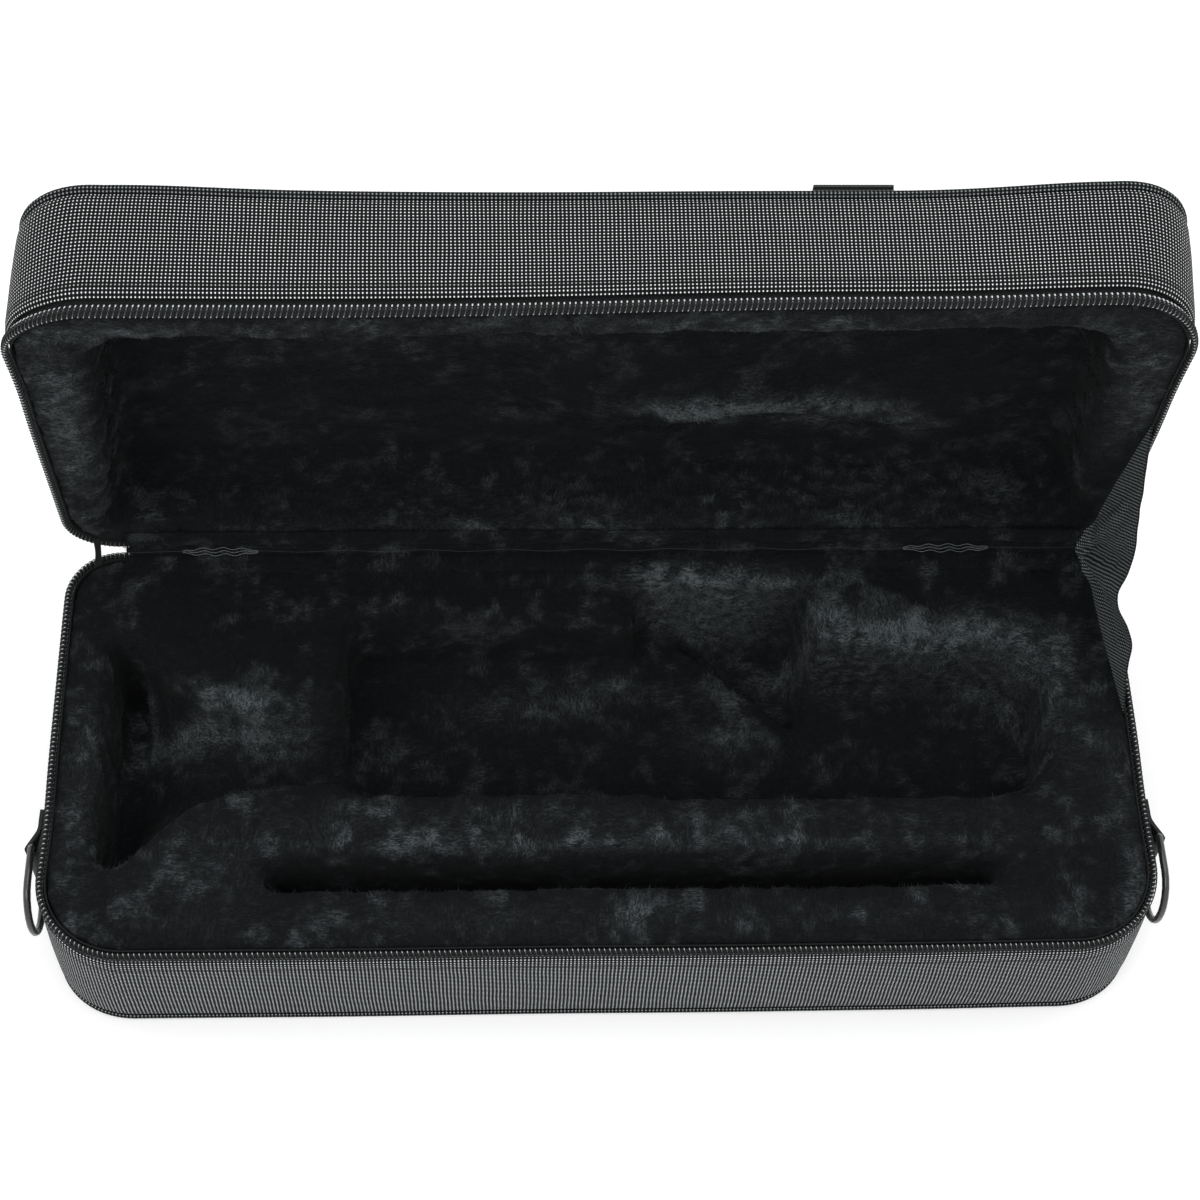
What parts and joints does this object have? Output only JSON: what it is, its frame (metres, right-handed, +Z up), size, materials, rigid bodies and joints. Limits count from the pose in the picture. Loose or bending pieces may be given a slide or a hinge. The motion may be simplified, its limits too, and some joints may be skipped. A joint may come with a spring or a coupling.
{
  "type": "trumpet gig bag",
  "caption": "Oblong zip-round instrument bag standing open, its plush-lined foam halves moulded for a trumpet, with a fabric hinge, stay gusset, carry handle and strap rings.",
  "frame": {"origin": "centre of the base's underside", "axes": "+Z up, +X along the bag's length to the right, +Y towards the hinge at the back"},
  "size_m": [0.5794, 0.3045, 0.3206],
  "materials": {
    "woven_nylon": "two-tone dotted ballistic weave",
    "plush": "short brushed pile",
    "zip_tape": "fine woven tape",
    "zip_coil": "moulded coil",
    "webbing": "ribbed webbing",
    "padded_grip": "padded fabric",
    "black_metal": "glossy black enamel",
    "foam": "moulded rigid foam"
  },
  "bodies": {
    "base": {"base_bottom_panel": "woven_nylon", "base_side_band": "woven_nylon", "base_piping": "woven_nylon", "base_zip_tape": "zip_tape", "base_zip_coil": "zip_coil", "base_plush_lining": "plush", "base_foam_core": "foam", "hinge_strip": "woven_nylon", "hinge_lining": "plush", "stay_gusset": "woven_nylon", "ring_tab_left": "webbing", "ring_tab_right": "webbing", "zip_end_left": "zip_tape", "zip_end_right": "zip_tape"},
    "lid": {"lid_top_panel": "woven_nylon", "lid_side_band": "woven_nylon", "lid_piping": "woven_nylon", "lid_zip_tape": "zip_tape", "lid_zip_coil": "zip_coil", "lid_plush_lining": "plush", "lid_foam_core": "foam", "handle_patch_left": "webbing", "handle_patch_right": "webbing"},
    "handle": {"handle_loop": "webbing", "handle_grip": "padded_grip"},
    "ring_left": {"strap_ring_left": "black_metal"},
    "ring_right": {"strap_ring_right": "black_metal"},
    "zip_slider_left": {"slider_left": "black_metal"},
    "zip_slider_right": {"slider_right": "black_metal"},
    "zip_pull_left": {"pull_left": "black_metal"},
    "zip_pull_right": {"pull_right": "black_metal"}
  },
  "joints": [
    {"name": "lid_hinge", "type": "hinge", "parent": "base", "child": "lid", "pos_m": [0, 0.117, 0.082], "axis": [1, 0, 0], "range_deg": [0, 85], "deforming": ["hinge_strip", "hinge_lining", "stay_gusset"]},
    {"name": "handle_swing", "type": "hinge", "parent": "lid", "child": "handle", "pos_m": [0, 0.16959, 0.30584], "axis": [1, 0, 0], "range_deg": [0, 175]},
    {"name": "ring_left_swing", "type": "hinge", "parent": "base", "child": "ring_left", "pos_m": [-0.2858, -0.051, 0.0496], "axis": [0, 0, -1], "range_deg": [0, 110]},
    {"name": "ring_right_swing", "type": "hinge", "parent": "base", "child": "ring_right", "pos_m": [0.2858, -0.051, 0.0496], "axis": [0, 0, 1], "range_deg": [0, 110]},
    {"name": "zip_left_slide", "type": "slide", "parent": "base", "child": "zip_slider_left", "axis": [-1, 0, 0], "range_m": [0, 0.033]},
    {"name": "zip_right_slide", "type": "slide", "parent": "base", "child": "zip_slider_right", "axis": [1, 0, 0], "range_m": [0, 0.033]},
    {"name": "pull_left_swing", "type": "hinge", "parent": "zip_slider_left", "child": "zip_pull_left", "pos_m": [-0.2045, 0.1243, 0.064], "axis": [0, 0, 1], "range_deg": [0, 120]},
    {"name": "pull_right_swing", "type": "hinge", "parent": "zip_slider_right", "child": "zip_pull_right", "pos_m": [0.2045, 0.1243, 0.064], "axis": [0, 0, -1], "range_deg": [0, 120]}
  ]
}
